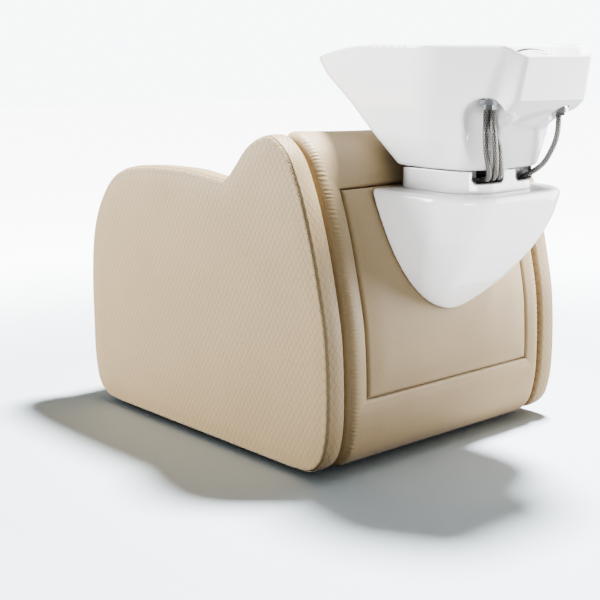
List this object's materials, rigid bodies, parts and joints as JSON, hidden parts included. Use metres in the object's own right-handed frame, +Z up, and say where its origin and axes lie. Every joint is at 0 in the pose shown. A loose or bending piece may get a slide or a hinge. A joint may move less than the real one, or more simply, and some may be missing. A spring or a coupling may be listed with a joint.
{
  "type": "salon backwash unit",
  "caption": "Upholstered salon seat with padded arms and a tilting ceramic hair-wash basin on a pedestal shell behind its backrest, with mixer, pull-out shower and hoses.",
  "frame": {"origin": "on the floor, in the middle of the unit's width and depth", "axes": "+Z up, +Y from the seat towards the basin, +X towards the sitter's left"},
  "size_m": [0.78, 1.1904, 0.931],
  "materials": {
    "vinyl": "satin embossed vinyl",
    "plywood": "sanded plywood",
    "frame_paint": "black powder coat",
    "zinc": "zinc plated",
    "glide": "matte black",
    "shell_white": "gloss white",
    "grommet": "black",
    "ceramic": "white glaze",
    "chrome": "polished",
    "brass": "machined",
    "plastic_white": "matte white",
    "spray": "matte grey",
    "braid": "braided steel"
  },
  "bodies": {
    "chair": {"arm_outer_panel_left": "vinyl", "arm_outer_panel_right": "vinyl", "arm_edge_band_left": "vinyl", "arm_edge_band_right": "vinyl", "arm_inner_panel_left": "vinyl", "arm_inner_panel_right": "vinyl", "seat_cushion": "vinyl", "seat_front_panel": "vinyl", "back_cushion": "vinyl", "back_surround": "vinyl", "rear_panel": "vinyl", "arm_core_left": "plywood", "arm_core_right": "plywood", "seat_board": "plywood", "seat_rails": "plywood", "back_board": "plywood", "base_frame": "frame_paint", "support_frame": "frame_paint", "tilt_yoke": "frame_paint", "arm_bolts": "zinc", "tilt_pins": "zinc", "floor_glides": "glide", "friction_washers": "glide", "pedestal_shell": "shell_white", "collar": "shell_white", "slot_grommet_left": "grommet", "slot_grommet_right": "grommet", "hose_coupling": "brass", "inlet_block": "brass", "drain_spigot": "plastic_white", "drain_hose": "plastic_white", "hot_hose": "braid", "cold_hose": "braid", "outlet_hose": "braid", "shower_hose": "braid"},
    "basin": {"basin": "ceramic", "basin_bracket": "frame_paint", "tilt_bushes": "glide", "bracket_bolts": "zinc", "waste_flange": "chrome", "waste_gasket": "grommet", "waste_nut": "plastic_white", "mixer_base": "chrome", "mixer_nut": "zinc", "handset_ferrule": "chrome", "ferrule_nut": "zinc", "handset_hose": "braid"},
    "strainer": {"hair_strainer": "chrome"},
    "mixer_cap": {"mixer_cap": "chrome"},
    "mixer_lever": {"mixer_lever": "chrome"},
    "handset": {"handset_body": "chrome", "spray_face": "spray"}
  },
  "joints": [
    {"name": "basin_tilt", "type": "hinge", "parent": "chair", "child": "basin", "pos_m": [0, 0.293, 0.672], "axis": [1, 0, 0], "range_deg": [0, 4], "deforming": ["hot_hose", "cold_hose", "outlet_hose", "shower_hose", "drain_hose"]},
    {"name": "mixer_swivel", "type": "hinge", "parent": "basin", "child": "mixer_cap", "pos_m": [0.1, 0.495, 0.861], "axis": [0, 0, 1], "range_deg": [0, 50]},
    {"name": "lever_lift", "type": "hinge", "parent": "mixer_cap", "child": "mixer_lever", "pos_m": [0.1, 0.495, 0.872], "axis": [0.0872, 0.9962, 0], "range_deg": [0, 25]},
    {"name": "handset_lift", "type": "slide", "parent": "basin", "child": "handset", "axis": [0, 0, 1], "range_m": [0, 0.1], "deforming": ["handset_hose"]},
    {"name": "strainer_lift", "type": "slide", "parent": "basin", "child": "strainer", "axis": [0, 0, 1], "range_m": [0, 0.04]}
  ]
}
